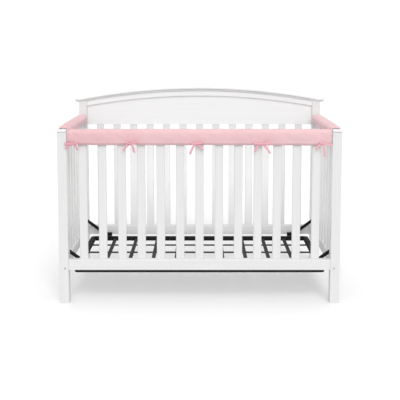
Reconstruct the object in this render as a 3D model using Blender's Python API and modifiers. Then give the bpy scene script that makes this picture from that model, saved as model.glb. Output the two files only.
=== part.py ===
"""A three-panel padded rail cover, tied with ribbon bows to the crib that it fits.

Run with: blender --background --python part.py
Metres, +Z up, X along the crib, -Y its front. The origin is on the floor, under the crib's middle.
"""

import math

import bmesh
import bpy
import numpy as np

# Gaps: wood to wood, and cloth to what it hangs over
JOINT_GAP = 0.0003
CLOTH_GAP = 0.002
CLOTH_GAP_SIDE = 0.005

# Crib
CRIB_WIDTH = 1.440
CRIB_DEPTH = 0.760
POST_WIDTH = 0.048
POST_DEPTH = 0.050
POST_HEIGHT = 0.889
CAP_HEIGHT = 0.0097
CAP_OVERHANG = 0.006
CAP_SHORT = 0.002
CAP_LIP = 0.0052
CAP_EASE = 0.001
CAP_NECK = 0.003
CAP_NECK_IN = 0.003
INNER_WIDTH = CRIB_WIDTH - 2 * POST_WIDTH
INNER_DEPTH = CRIB_DEPTH - 2 * POST_DEPTH
SIDE_RAIL_INSET = 0.024
RAIL_LINE_X = CRIB_WIDTH / 2 - SIDE_RAIL_INSET
RAIL_LINE_Y = (CRIB_DEPTH - POST_DEPTH) / 2

# Rails
TOP_RAIL_HEIGHT = 0.057
TOP_RAIL_THICK = 0.034
SIDE_RAIL_HEIGHT = 0.030
SIDE_RAIL_THICK = 0.036
TOP_RAIL_ROUND = 0.010
FRONT_RAIL_TOP = 0.8925
SIDE_RAIL_TOP = 0.902
BOTTOM_RAIL_LOW = 0.176
BOTTOM_RAIL_HIGH = 0.231
BOTTOM_RAIL_THICK = 0.034
BOTTOM_RAIL_SET_BACK = 0.001
SIDE_BOTTOM_THICK = 0.028

# Slats
SLAT_COUNT = 13
SLAT_WIDTH = 0.0426
SIDE_SLAT_COUNT = 7
SIDE_SLAT_WIDTH = 0.040
SLAT_THICK = 0.014
SIDE_SLAT_TENON = 0.020
SLAT_ROUND = 0.005
EDGE_ROUND = 0.003

# Headboard: three arcs of one radius, one under the other
CROWN_TOP = 1.068
CROWN_RADIUS = 3.737
CROWN_HALF = 0.745
CROWN_HEIGHT = 0.015
CROWN_DEPTH = 0.066
CROWN_FLAT_FROM = 0.715
CROWN_FLICK = 0.003
# The crown's front and back: a lip that is eased above, and a cove under it
CROWN_LIP = 0.004
CROWN_EASE = 0.0012
COVE_DEEP = 0.008
COVE_STEPS = 4
ARCH_HEIGHT = 0.030
ARCH_THICK = 0.030
ARCH_SET_BACK = 0.006
PANEL_LOW = 0.849
PANEL_THICK = 0.018
PANEL_SET_BACK = 0.015
ARC_STEPS = 24

# Mattress support
DECK_WIDTH = 1.308
DECK_DEPTH = 0.650
DECK_LOW = 0.148
DECK_HIGH = 0.170
DECK_FRAME = 0.025
DECK_CORNER = 0.022
STRAP_CORNER = 0.008
STRAP_LOW = 0.160
STRAP_THICK = 0.004
STRAP_WIDTH = 0.020
DECK_WINDOWS = (10, 4)
HANGER_HEIGHT = 0.022
HANGER_THICK = 0.005
HANGER_RISE = 0.090
# A hanger's distances from the crib's middle: its top end, the bend, and the end of its foot
HANGER_REACH = (0.688, 0.568, 0.530)

# Cover panels
CLOTH_THICK = 0.008
FRONT_CLOTH_WIDTH = 0.188
SIDE_CLOTH_WIDTH = 0.138
CLOTH_REST = 0.0022
# The strip's corners are quarter ovals: their length along the rail, and their share of the strip
CORNER_LONG = 0.020
CORNER_SHARE = 0.64
CORNER_TAPER = 0.050
SHOULDER_RADIUS = 0.016
# Distances in from the strip's edge at which its section bends, where the edge curls in
CURL_STEPS = (0.0205, 0.012, 0.005, 0.0)
STRAIGHT_PITCH = 0.014
CURL_LOOSE = math.radians(35)
CURL_TIED = math.radians(72)
CURL_WOBBLE = math.radians(6)
WOBBLE_LENGTH = 0.210
TIE_REACH = 0.024
PUFF = 0.0045
PUFF_END = 0.050
RUN_STEPS = 120
# Distances from a tie at which the cloth has a cross section
TIE_STEPS = (-0.045, -0.022, 0.0, 0.022, 0.045)
SPAN_PITCH = 0.060
END_STEP = 0.008

# Ribbon
RIBBON_WIDTH = 0.010
RIBBON_THICK = 0.0012
RIBBON_CLEAR = 0.0006
BAND_CLEAR = 0.0014
KNOT_SIZE = (0.013, 0.010, 0.012)
KNOT_IN = 0.014
LOOP_OPEN = 0.0032
LOOP_NECK = 0.006
NECK_OPEN = 0.001
LEAN_OVER = 0.25
LOOP_TIP = 0.012
LOOP_STEPS = 9
TAIL_STEPS = 4
# A tail's elbow, as shares of its reach and drop, and how far it stands off there and at its tip
ELBOW_REACH = 0.7
ELBOW_DROP = 0.25
ELBOW_OFF = 0.003
TIP_OFF = 0.001

WHITE_PAINT = ("white_paint", (0.80, 0.80, 0.80), 0.45, 0.0)
PINK_COTTON = ("pink_cotton", (0.85, 0.56, 0.57), 0.90, 0.0)
PINK_RIBBON = ("pink_ribbon", (0.87, 0.38, 0.43), 0.60, 0.0)
BLACK_STEEL = ("black_steel", (0.012, 0.012, 0.013), 0.50, 0.2)


def start_clean():
    """Empties the scene and returns its two collections: the crib's pieces, and what is fused on."""
    for old in list(bpy.data.objects):
        bpy.data.objects.remove(old, do_unlink=True)
    found = []
    for name in ("crib_rail_cover", "fused_shapes"):
        collection = bpy.data.collections.new(name)
        bpy.context.scene.collection.children.link(collection)
        found.append(collection)
    return found


PIECES, FUSED = start_clean()


def material_of(finish):
    """The Principled material of a finish, made once."""
    name, colour, roughness, metallic = finish
    material = bpy.data.materials.get(name)
    if material is None:
        material = bpy.data.materials.new(name)
        material.use_nodes = True
        shader = material.node_tree.nodes["Principled BSDF"]
        shader.inputs["Base Color"].default_value = (*colour, 1.0)
        shader.inputs["Roughness"].default_value = roughness
        shader.inputs["Metallic"].default_value = metallic
    return material


def object_from(name, bm, finish, collection=PIECES):
    """Puts a bmesh into an object of this name."""
    mesh = bpy.data.meshes.new(name)
    bm.to_mesh(mesh)
    bm.free()
    mesh.materials.append(material_of(finish))
    made = bpy.data.objects.new(name, mesh)
    collection.objects.link(made)
    if collection is FUSED:
        made.hide_render = True
        made.display_type = "WIRE"
    return made


def bar(name, low, high, finish, along=None, rounding=EDGE_ROUND, segments=2, collection=PIECES):
    """A box between two corners, with the edges that run along one axis rounded, or all of them."""
    bm = bmesh.new()
    bmesh.ops.create_cube(bm, size=1.0)
    for vert in bm.verts:
        vert.co = [l + (h - l) * (c + 0.5) for l, h, c in zip(low, high, vert.co)]
    edges = bm.edges[:]
    if along is not None:
        edges = [e for e in edges if abs(e.verts[0].co[along] - e.verts[1].co[along]) > 0]
    bmesh.ops.bevel(bm, geom=edges, offset=rounding, segments=segments, profile=0.5, affect="EDGES")
    return object_from(name, bm, finish, collection)


def sheet(name, points, thick, finish, collection=PIECES):
    """A grid laid on an array of points (rows, columns, 3), thickened equally to both sides."""
    rows, columns = points.shape[:2]
    bm = bmesh.new()
    bmesh.ops.create_grid(bm, x_segments=rows - 1, y_segments=columns - 1, size=0.5)
    for vert in bm.verts:
        row = round((vert.co.x + 0.5) * (rows - 1))
        column = round((vert.co.y + 0.5) * (columns - 1))
        vert.co = points[row, column]
    made = object_from(name, bm, finish, collection)
    shell = made.modifiers.new("thickness", "SOLIDIFY")
    shell.thickness = thick
    shell.offset = 0.0
    shell.use_even_offset = True
    return made


def fuse(whole, piece):
    """Joins a fused shape to an object, so that they are one body."""
    union = whole.modifiers.new("with_" + piece.name[-40:], "BOOLEAN")
    union.operation = "UNION"
    union.solver = "EXACT"
    union.object = piece


def board(name, stations, y_front, thick, finish):
    """An upright board from stations of (x, low z, high z), its front face at y_front."""
    y = y_front + thick / 2
    points = np.array([[(x, y, low), (x, y, high)] for x, low, high in stations])
    return sheet(name, points, thick, finish)


# Posts and caps


def crown_line(x):
    """The crown's top: an arc, then level ends that turn up a little at the tips."""
    within = min(abs(x), CROWN_FLAT_FROM)
    past = max(abs(x) - CROWN_FLAT_FROM, 0.0) / (CROWN_HALF - CROWN_FLAT_FROM)
    return CROWN_TOP - within**2 / (2 * CROWN_RADIUS) + CROWN_FLICK * past**2


def under_crown(x):
    """The height at which a piece meets the crown's underside."""
    return crown_line(x) - CROWN_HEIGHT - 2 * JOINT_GAP


def make_posts():
    for side, sign in (("left", -1), ("right", 1)):
        outer, inner = CRIB_WIDTH / 2, CRIB_WIDTH / 2 - POST_WIDTH
        x_low, x_high = sorted((sign * outer, sign * inner))
        front, back = -CRIB_DEPTH / 2, CRIB_DEPTH / 2
        bar(
            f"post_front_{side}",
            (x_low, front, 0.0),
            (x_high, front + POST_DEPTH, POST_HEIGHT),
            WHITE_PAINT,
            along=2,
        )
        make_cap(side, sign, outer, inner, front)
        post = bar(
            f"post_back_{side}",
            (x_low, back - POST_DEPTH, 0.0),
            (x_high, back, crown_line(0.0)),
            WHITE_PAINT,
            along=2,
        )
        # The top is cut to the slope of the crown that lies on it.
        fall = (crown_line(inner) - crown_line(CROWN_FLAT_FROM)) / (CROWN_FLAT_FROM - inner)
        for vert in post.data.vertices:
            if vert.co.z > POST_HEIGHT:
                vert.co.z = under_crown(inner) - fall * (abs(vert.co.x) - inner)


def make_cap(side, sign, outer, inner, front):
    """A thin cap on a front post. On the two sides that show, its lip hangs over, and a slope leads
    back under the lip to a low neck, set in from the post."""
    bottom = POST_HEIGHT + JOINT_GAP
    top = bottom + CAP_HEIGHT
    back = front + POST_DEPTH - 2 * JOINT_GAP
    bm = bmesh.new()
    rings = []
    for over, z in (
        (-CAP_NECK_IN, bottom),
        (-CAP_NECK_IN, bottom + CAP_NECK),
        (CAP_OVERHANG, top - CAP_LIP),
        (CAP_OVERHANG, top - CAP_EASE),
        (CAP_OVERHANG - CAP_EASE, top),
    ):
        x_out, x_in = sign * (outer + over), sign * (inner + CAP_SHORT)
        corners = ((x_out, front - over), (x_in, front - over), (x_in, back), (x_out, back))
        rings.append([bm.verts.new((x, y, z)) for x, y in corners])
    for here, there in zip(rings, rings[1:]):
        for k in range(4):
            bm.faces.new((here[k - 1], here[k], there[k], there[k - 1]))
    bm.faces.new(rings[0][::-1])
    bm.faces.new(rings[-1])
    bmesh.ops.recalc_face_normals(bm, faces=bm.faces)
    object_from(f"cap_front_{side}", bm, WHITE_PAINT)


# Rails and slats


def evenly(count, width, span):
    """The centres of count pieces of this width that stand with equal gaps across a span."""
    gap = (span - count * width) / (count + 1)
    return [-span / 2 + gap * (i + 1) + width * (i + 0.5) for i in range(count)]


def make_front_and_back():
    half = INNER_WIDTH / 2 - JOINT_GAP
    rail = TOP_RAIL_THICK / 2
    bar(
        "front_top_rail",
        (-half, -RAIL_LINE_Y - rail, FRONT_RAIL_TOP - TOP_RAIL_HEIGHT),
        (half, -RAIL_LINE_Y + rail, FRONT_RAIL_TOP),
        WHITE_PAINT,
        along=0,
        rounding=TOP_RAIL_ROUND,
        segments=3,
    )
    outer = CRIB_DEPTH / 2 - BOTTOM_RAIL_SET_BACK
    slat_tops = {"front": FRONT_RAIL_TOP - TOP_RAIL_HEIGHT, "back": PANEL_LOW}
    for face, sign in (("front", -1), ("back", 1)):
        y_low, y_high = sorted((sign * outer, sign * (outer - BOTTOM_RAIL_THICK)))
        bar(
            f"{face}_bottom_rail",
            (-half, y_low, BOTTOM_RAIL_LOW),
            (half, y_high, BOTTOM_RAIL_HIGH),
            WHITE_PAINT,
            along=0,
        )
        for i, x in enumerate(evenly(SLAT_COUNT, SLAT_WIDTH, INNER_WIDTH)):
            y = sign * RAIL_LINE_Y
            bar(
                f"{face}_slat_{i + 1:02d}",
                (x - SLAT_WIDTH / 2, y - SLAT_THICK / 2, BOTTOM_RAIL_HIGH + JOINT_GAP),
                (x + SLAT_WIDTH / 2, y + SLAT_THICK / 2, slat_tops[face] - JOINT_GAP),
                WHITE_PAINT,
                along=2,
                rounding=SLAT_ROUND,
                segments=3,
            )


def make_sides():
    half = INNER_DEPTH / 2 - JOINT_GAP
    rail_low = SIDE_RAIL_TOP - SIDE_RAIL_HEIGHT
    for side, sign in (("left", -1), ("right", 1)):
        x = sign * RAIL_LINE_X
        bar(
            f"side_top_rail_{side}",
            (x - SIDE_RAIL_THICK / 2, -half, rail_low),
            (x + SIDE_RAIL_THICK / 2, half, SIDE_RAIL_TOP),
            WHITE_PAINT,
            along=1,
            rounding=TOP_RAIL_ROUND,
            segments=3,
        )
        comb = bar(
            f"side_slats_{side}",
            (x - SIDE_BOTTOM_THICK / 2, -half, BOTTOM_RAIL_LOW),
            (x + SIDE_BOTTOM_THICK / 2, half, BOTTOM_RAIL_HIGH),
            WHITE_PAINT,
            along=1,
        )
        for i, y in enumerate(evenly(SIDE_SLAT_COUNT, SIDE_SLAT_WIDTH, INNER_DEPTH)):
            slat = bar(
                f"slat_of_{side}_{i + 1}",
                (x - SLAT_THICK / 2, y - SIDE_SLAT_WIDTH / 2, BOTTOM_RAIL_HIGH - SIDE_SLAT_TENON),
                (x + SLAT_THICK / 2, y + SIDE_SLAT_WIDTH / 2, rail_low - JOINT_GAP),
                WHITE_PAINT,
                along=2,
                collection=FUSED,
            )
            fuse(comb, slat)


# Headboard


def make_headboard():
    front = CRIB_DEPTH / 2 - POST_DEPTH
    half = INNER_WIDTH / 2 - JOINT_GAP
    across = np.linspace(-half, half, ARC_STEPS + 1)
    tops = [under_crown(x) for x in across]
    board(
        "headboard_arch",
        [(x, z - ARCH_HEIGHT, z) for x, z in zip(across, tops)],
        front + ARCH_SET_BACK,
        ARCH_THICK,
        WHITE_PAINT,
    )
    board(
        "headboard_panel",
        [(x, PANEL_LOW, z - ARCH_HEIGHT - JOINT_GAP) for x, z in zip(across, tops)],
        front + PANEL_SET_BACK,
        PANEL_THICK,
        WHITE_PAINT,
    )
    ends = np.array([CROWN_FLAT_FROM, (CROWN_FLAT_FROM + CROWN_HALF) / 2, CROWN_HALF])
    arc = np.linspace(-CROWN_FLAT_FROM, CROWN_FLAT_FROM, ARC_STEPS + 1)[1:-1]
    along = np.concatenate([-ends[::-1], arc, ends])
    moulding("headboard_crown", along, front + POST_DEPTH / 2, WHITE_PAINT)


def moulding(name, along, y_middle, finish):
    """The crown: its section carried along its top line. The cove returns round both ends, so each
    ring of the section is as far in from the ends as it is from the lip."""
    turn = np.linspace(0, math.pi / 2, COVE_STEPS)
    inset = np.concatenate([[CROWN_EASE, 0.0], COVE_DEEP * np.sin(turn)])
    cove = CROWN_HEIGHT - CROWN_LIP
    down = np.concatenate([[0.0, CROWN_EASE], CROWN_HEIGHT - cove * np.cos(turn)])
    inset = np.concatenate([inset, inset[::-1]])
    down = np.concatenate([down, down[::-1]])
    hand = np.repeat((-1.0, 1.0), len(turn) + 2)
    bm = bmesh.new()
    rings = []
    for number, x in enumerate(along):
        at_end = number in (0, len(along) - 1)
        rings.append(
            [
                bm.verts.new(
                    (
                        x - math.copysign(i, x) * at_end,
                        y_middle + side * (CROWN_DEPTH / 2 - i),
                        crown_line(x) - d,
                    )
                )
                for side, i, d in zip(hand, inset, down)
            ]
        )
    for here, there in zip(rings, rings[1:]):
        for k in range(len(here)):
            bm.faces.new((here[k], here[k - 1], there[k - 1], there[k]))
    bm.faces.new(rings[0])
    bm.faces.new(rings[-1][::-1])
    bmesh.ops.recalc_face_normals(bm, faces=bm.faces)
    object_from(name, bm, finish)


# Mattress support


def lattice(name, size, bars, thick, z_low, finish, windows, rounding, collection=PIECES):
    """A flat plate with round corners, pierced by equal windows with bars of one width between."""
    lines = []
    for length, count in zip(size, windows):
        pitch = (length - bars) / count
        starts = -length / 2 + pitch * np.arange(count + 1)
        lines.append(np.sort(np.concatenate([starts, starts + bars])))
    bm = bmesh.new()
    bmesh.ops.create_grid(bm, x_segments=len(lines[0]) - 1, y_segments=len(lines[1]) - 1, size=0.5)
    for vert in bm.verts:
        i = round((vert.co.x + 0.5) * (len(lines[0]) - 1))
        j = round((vert.co.y + 0.5) * (len(lines[1]) - 1))
        vert.co = (lines[0][i], lines[1][j], z_low + thick / 2)
    shortest = 1.01 * bars
    holes = [f for f in bm.faces if min(e.calc_length() for e in f.edges) > shortest]
    bmesh.ops.delete(bm, geom=holes, context="FACES")
    corners = [v for v in bm.verts if len(v.link_edges) == 2]
    bmesh.ops.bevel(bm, geom=corners, offset=rounding, segments=4, profile=0.5, affect="VERTICES")
    made = object_from(name, bm, finish, collection)
    shell = made.modifiers.new("thickness", "SOLIDIFY")
    shell.thickness = thick
    shell.offset = 0.0
    return made


def make_mattress_support():
    frame = lattice(
        "mattress_support",
        (DECK_WIDTH, DECK_DEPTH),
        DECK_FRAME,
        DECK_HIGH - DECK_LOW,
        DECK_LOW,
        BLACK_STEEL,
        (1, 1),
        DECK_CORNER,
    )
    straps = lattice(
        "support_straps",
        (DECK_WIDTH - DECK_FRAME, DECK_DEPTH - DECK_FRAME),
        STRAP_WIDTH,
        STRAP_THICK,
        STRAP_LOW,
        BLACK_STEEL,
        DECK_WINDOWS,
        STRAP_CORNER,
        collection=FUSED,
    )
    fuse(frame, straps)
    # Each hanger is bolted to a post's inner face, slopes down and ends in a level foot on the frame.
    foot = DECK_HIGH + JOINT_GAP
    profile = tuple(zip(HANGER_REACH, (foot + HANGER_RISE, foot, foot)))
    for side, sign in (("left", -1), ("right", 1)):
        for face, y_front in (
            ("front", -INNER_DEPTH / 2 + JOINT_GAP),
            ("back", INNER_DEPTH / 2 - JOINT_GAP - HANGER_THICK),
        ):
            stations = [(sign * x, z, z + HANGER_HEIGHT) for x, z in profile]
            board(f"hanger_{face}_{side}", stations, y_front, HANGER_THICK, BLACK_STEEL)


# Cover panels


class RailCover:
    """One padded strip over a rail. A point on it is given by its place along the rail and its
    distance across the cloth from the rail's centre line, positive towards the outside."""

    def __init__(self, name, along, outward, centre, rail_thick, size, ties):
        self.name = name
        self.along = np.array(along, float)
        self.outward = np.array(outward, float)
        self.centre = np.array(centre, float)
        self.length, self.width = size
        self.ties = ties
        self.rail_thick = rail_thick
        self.shoulder_from = rail_thick / 2 + CLOTH_REST + CLOTH_THICK / 2 - SHOULDER_RADIUS
        self.curl_from = self.width / 2 - CURL_STEPS[0]

    def pull(self, t):
        """How hard the ties draw the cloth in at t, from 0 to 1."""
        near = [tie["pull"] * math.exp(-(((t - tie["at"]) / TIE_REACH) ** 2)) for tie in self.ties]
        return min(sum(near), 1.0)

    def slide(self, t):
        """How far the strip has slipped towards the outside at t."""
        places = [tie["at"] for tie in self.ties]
        return float(np.interp(t, places, [tie["slide"] for tie in self.ties]))

    def point(self, t, s, lift=0.0):
        """The cloth's middle surface, or a point lifted from it. The strip runs flat over the rail,
        turns down round a shoulder, hangs straight, and its lower edge curls in, most at a tie."""
        s = s + self.slide(t)
        pull = self.pull(t)
        curl = CURL_LOOSE + (CURL_TIED - CURL_LOOSE) * pull
        curl += CURL_WOBBLE * (1 - pull) * math.sin(2 * math.pi * t / WOBBLE_LENGTH)
        run = np.linspace(0.0, abs(s), RUN_STEPS)
        shoulder = math.pi / 2 * SHOULDER_RADIUS
        angle = math.pi / 2 * np.clip((run - self.shoulder_from) / shoulder, 0, 1)
        angle += curl * np.clip((run - self.curl_from) / CURL_STEPS[0], 0, 1.1)
        step = np.diff(run)
        middle = (angle[1:] + angle[:-1]) / 2
        across = float(np.sum(np.cos(middle) * step))
        up = CLOTH_REST + CLOTH_THICK / 2 - float(np.sum(np.sin(middle) * step))
        side_share = abs(s) - self.shoulder_from
        side_share = np.clip(side_share / (self.curl_from - self.shoulder_from), 0, 1)
        end_share = min((self.length / 2 - abs(t)) / PUFF_END, 1.0)
        lift = lift + PUFF * end_share * (1 - pull) * math.sin(math.pi * float(side_share))
        across += lift * math.sin(angle[-1])
        up += lift * math.cos(angle[-1])
        across *= math.copysign(1.0, s)
        return self.centre + self.along * t + self.outward * across + np.array((0.0, 0.0, up))

    def end_inset(self, s):
        """How far the strip's round corners draw its end in, at s across the cloth."""
        into = max(1 - (1 - 2 * abs(s) / self.width) / CORNER_SHARE, 0.0)
        return CORNER_LONG * (1 - math.sqrt(1 - into**2))

    def stations(self):
        """Places along the rail with a cross section: close together at ties, sparse between."""
        half = self.length / 2
        stops = [-half, half]
        for tie in self.ties:
            near = [tie["at"] + step for step in TIE_STEPS]
            stops += [t for t in near if abs(t) < half - END_STEP]
        stops.sort()
        found = []
        for here, there in zip(stops, stops[1:]):
            parts = max(round((there - here) / SPAN_PITCH), 1)
            found += list(np.linspace(here, there, parts + 1)[:-1])
        return np.array(found + [half])

    def bends(self):
        """Distances along the cloth from its centre line to its edge, where its section bends."""
        turn = self.shoulder_from + SHOULDER_RADIUS * math.pi / 2 * np.linspace(0, 1, 4)
        pieces = round((self.curl_from - turn[-1]) / STRAIGHT_PITCH)
        straight = np.linspace(turn[-1], self.curl_from, max(pieces, 1) + 1)[1:-1]
        curl = self.width / 2 - np.array(CURL_STEPS)
        return np.concatenate([[0.0], turn, straight, curl])

    def make(self):
        across = sorted({side * s for s in self.bends() for side in (-1, 1)})
        half = self.length / 2
        rows = []
        for t in self.stations():
            row = []
            for s in across:
                near_end = max(1 - (half - abs(t)) / CORNER_TAPER, 0.0)
                drawn_in = self.end_inset(s) * near_end
                row.append(self.point(t - math.copysign(drawn_in, t), s))
            rows.append(row)
        return sheet(self.name, np.array(rows), CLOTH_THICK, PINK_COTTON)


# Ribbon bows


def bezier(start, middle, end, count):
    """Points along a curve that leaves start towards middle and ends at end."""
    f = np.linspace(0, 1, count)[:, None]
    return (1 - f) ** 2 * start + 2 * f * (1 - f) * middle + f**2 * end


def ribbon(name, path, sideways, widths):
    """A flat ribbon along a path. Its width lies along the sideways vectors."""
    half = np.asarray(widths)[:, None] / 2 * sideways
    points = np.stack([path - half, path + half], axis=1)
    return sheet(name, points, RIBBON_THICK, PINK_RIBBON, collection=FUSED)


def make_bow(cover, number, tie):
    """A knot at the cloth's lower outer edge, with two loops, two tails, and the band that runs
    under the rail to the strip's other edge."""
    up = np.array((0.0, 0.0, 1.0))
    on_cloth = CLOTH_THICK / 2 + RIBBON_CLEAR
    knot_at = cover.width / 2 - KNOT_IN - cover.slide(tie["at"])
    knot = cover.point(tie["at"], knot_at, on_cloth + KNOT_SIZE[1] / 2)
    name = f"{cover.name}_bow_{number}"

    bm = bmesh.new()
    bmesh.ops.create_uvsphere(bm, u_segments=8, v_segments=5, radius=0.5)
    axes = np.array([cover.along, cover.outward, up]) * np.array(KNOT_SIZE)[:, None]
    for vert in bm.verts:
        vert.co = knot + np.array(vert.co) @ axes
    bmesh.ops.recalc_face_normals(bm, faces=bm.faces)
    whole = object_from(name, bm, PINK_RIBBON)

    face = cover.rail_thick / 2 + CLOTH_REST + CLOTH_THICK + PUFF
    stand_off = face + RIBBON_CLEAR + RIBBON_THICK / 2 + LOOP_OPEN
    stand_off -= (knot - cover.centre) @ cover.outward

    for hand, (reach, rise) in tie["loops"].items():
        direction = cover.along * reach + up * rise
        long = float(np.linalg.norm(direction))
        direction = direction / long
        side = np.cross(cover.outward, direction)
        turn = np.linspace(0, 2 * math.pi, LOOP_STEPS + 1)
        out = (1 - np.cos(turn)) / 2
        lean = np.minimum(out / LEAN_OVER, 1.0) * stand_off
        off = lean + LOOP_OPEN * np.sin(turn) * np.sqrt(out) + NECK_OPEN * np.cos(turn / 2)
        path = knot + long * out[:, None] * direction + off[:, None] * cover.outward
        widths = LOOP_NECK + (LOOP_TIP - LOOP_NECK) * out
        fuse(whole, ribbon(f"{hand}_loop_of_{name}", path, side[None, :], widths))

    for hand, (reach, drop) in tie["tails"].items():
        tip = knot + cover.along * reach - up * drop + cover.outward * TIP_OFF
        elbow = knot + cover.along * reach * ELBOW_REACH - up * drop * ELBOW_DROP
        elbow = elbow + cover.outward * ELBOW_OFF
        path = bezier(knot, elbow, tip, TAIL_STEPS + 1)
        side = np.cross(cover.outward, np.gradient(path, axis=0))
        side /= np.linalg.norm(side, axis=1)[:, None]
        widths = np.linspace(LOOP_NECK, RIBBON_WIDTH, TAIL_STEPS + 1)
        fuse(whole, ribbon(f"{hand}_tail_of_{name}", path, side, widths))

    edge = cover.width / 2
    over_cloth = CLOTH_THICK / 2 + BAND_CLEAR + RIBBON_THICK / 2
    turned_up = [step - edge for step in CURL_STEPS[:0:-1]]
    path = [knot] + [cover.point(tie["band"], s, over_cloth) for s in [edge] + turned_up]
    path = np.array(path)
    widths = np.full(len(path), RIBBON_WIDTH)
    widths[0] = LOOP_NECK
    fuse(whole, ribbon(f"band_of_{name}", path, cover.along[None, :], widths))
    return whole


def ties(*rows):
    """Ties from rows of these columns, in millimetres but for the pull: where the knot is, where its
    band is, how hard it pulls, how far the strip has slipped there, the reach and rise of the left
    and right loops, and the reach and drop of the left and right tails."""
    found = []
    for at, band, pull, slide, left_loop, right_loop, left_tail, right_tail in rows:
        found.append(
            {
                "at": at / 1000,
                "band": band / 1000,
                "pull": pull,
                "slide": slide / 1000,
                "loops": {"left": np.array(left_loop) / 1000, "right": np.array(right_loop) / 1000},
                "tails": {"left": np.array(left_tail) / 1000, "right": np.array(right_tail) / 1000},
            }
        )
    return found


FRONT_TIES = ties(
    # at, band, pull, slide, left loop, right loop, left tail, right tail
    (-638, -638, 1.00, 0, (-42, 2), (26, 4), (-36, 25), (22, 31)),
    (-345, -345, 1.00, 0, (-26, 10), (34, 11), (-40, 36), (16, 45)),
    (-15, -49, 0.80, 0, (-26, 1), (27, 6), (-32, 53), (32, 34)),
    (307, 346, 0.75, 1, (-34, 3), (50, 1), (-29, 41), (48, 49)),
    (624, 639, 0.80, 3, (-18, 8), (42, -6), (-36, 29), (7, 66)),
)
SIDE_TIES = ties(
    (-219, -219, 0.80, 0, (-30, 6), (30, 6), (-26, 40), (22, 45)),
    (219, 219, 0.80, 0, (-30, 6), (30, 6), (-22, 45), (26, 40)),
)


def make_covers():
    side_size = (INNER_DEPTH - 2 * CLOTH_GAP_SIDE, SIDE_CLOTH_WIDTH)
    covers = (
        RailCover(
            "front_cover",
            (1, 0, 0),
            (0, -1, 0),
            (0, -RAIL_LINE_Y, FRONT_RAIL_TOP),
            TOP_RAIL_THICK,
            (INNER_WIDTH - 2 * CLOTH_GAP, FRONT_CLOTH_WIDTH),
            FRONT_TIES,
        ),
        RailCover(
            "side_cover_left",
            (0, -1, 0),
            (-1, 0, 0),
            (-RAIL_LINE_X, 0, SIDE_RAIL_TOP),
            SIDE_RAIL_THICK,
            side_size,
            SIDE_TIES,
        ),
        RailCover(
            "side_cover_right",
            (0, 1, 0),
            (1, 0, 0),
            (RAIL_LINE_X, 0, SIDE_RAIL_TOP),
            SIDE_RAIL_THICK,
            side_size,
            SIDE_TIES,
        ),
    )
    for cover in covers:
        cover.make()
        for number, tie in enumerate(cover.ties, 1):
            make_bow(cover, number, tie)


make_posts()
make_front_and_back()
make_sides()
make_headboard()
make_mattress_support()
make_covers()
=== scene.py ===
"""The looks of a padded crib rail cover and of the plain crib that it is tied to.

Metres, +Z up, X along the crib, -Y its front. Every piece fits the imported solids.
"""

import math

import bpy
import numpy as np
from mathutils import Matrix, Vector


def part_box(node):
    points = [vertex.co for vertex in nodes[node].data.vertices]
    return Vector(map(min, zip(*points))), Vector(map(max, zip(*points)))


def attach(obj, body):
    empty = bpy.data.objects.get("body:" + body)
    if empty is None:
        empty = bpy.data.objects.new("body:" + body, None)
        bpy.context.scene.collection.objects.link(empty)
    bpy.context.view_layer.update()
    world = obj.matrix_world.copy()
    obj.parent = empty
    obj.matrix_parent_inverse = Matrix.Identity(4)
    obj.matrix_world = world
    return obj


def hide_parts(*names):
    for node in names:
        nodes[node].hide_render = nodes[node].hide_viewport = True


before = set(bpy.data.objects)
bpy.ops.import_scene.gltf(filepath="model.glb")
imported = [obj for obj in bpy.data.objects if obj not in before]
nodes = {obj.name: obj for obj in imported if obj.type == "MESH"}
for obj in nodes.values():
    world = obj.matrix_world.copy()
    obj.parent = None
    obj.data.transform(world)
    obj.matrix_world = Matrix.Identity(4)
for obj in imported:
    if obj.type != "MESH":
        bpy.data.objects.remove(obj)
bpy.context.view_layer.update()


# ---- Camera
# A long lens in front of the crib's middle, above its rails. Its frame is shifted down a little
# and it looks down a little, so that the posts stay nearly upright.

EYE = (0.0, -4.158, 1.351)
LOOK_DOWN = math.radians(6.03)
LENS = 68.0
SENSOR = 36.0
FRAME_SHIFT = (0.00125, -0.20)

lens = bpy.data.cameras.new("front_view")
lens.lens = LENS
lens.sensor_width = SENSOR
lens.shift_x, lens.shift_y = FRAME_SHIFT
eye = bpy.data.objects.new("front_view", lens)
eye.location = EYE
eye.rotation_euler = (math.pi / 2 - LOOK_DOWN, 0.0, 0.0)
bpy.context.scene.collection.objects.link(eye)
bpy.context.scene.camera = eye


# ---- Posts, rails, slats and headboard
# Planed hardwood, glued and bolted, sprayed with white satin paint. The grain barely shows through
# and runs along each piece.

FRAME_PAINT = (0.755, 0.755, 0.753)
# The headboard's colour is the frame's white made lighter: painted light, as if more light fell on
# the board
HEADBOARD_PAINTED_LIGHT = (0.850, 0.853, 0.853)
# The caps' colour is that white made lighter still: painted light on their lit tops
CAP_PAINTED_LIGHT = (0.940, 0.943, 0.943)
PAINT_SATIN = {"Roughness": 0.38, "Coat Weight": 0.08}
# Over the grain the paint has this share of its brightness
OVER_GRAIN = 0.975
# Waves a metre across the grain and along it
GRAIN_FINE = 70.0
GRAIN_LONG = 2.5
GRAIN_DETAIL = 5.0
GRAIN_RANGE = (0.35, 0.65)
GRAIN_DEPTH = 0.00001
GRAIN_STRENGTH = 0.5
SPRAY_SCALE = 420.0
SPRAY_DEPTH = 0.00003
SPRAY_STRENGTH = 0.6


def new_finish(name, sockets):
    """An empty Principled material whose sockets hold these plain values."""
    made = bpy.data.materials.new(name)
    made.use_nodes = True
    shader = made.node_tree.nodes["Principled BSDF"]
    for socket, value in sockets.items():
        shader.inputs[socket].default_value = value
    return made, shader


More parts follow.
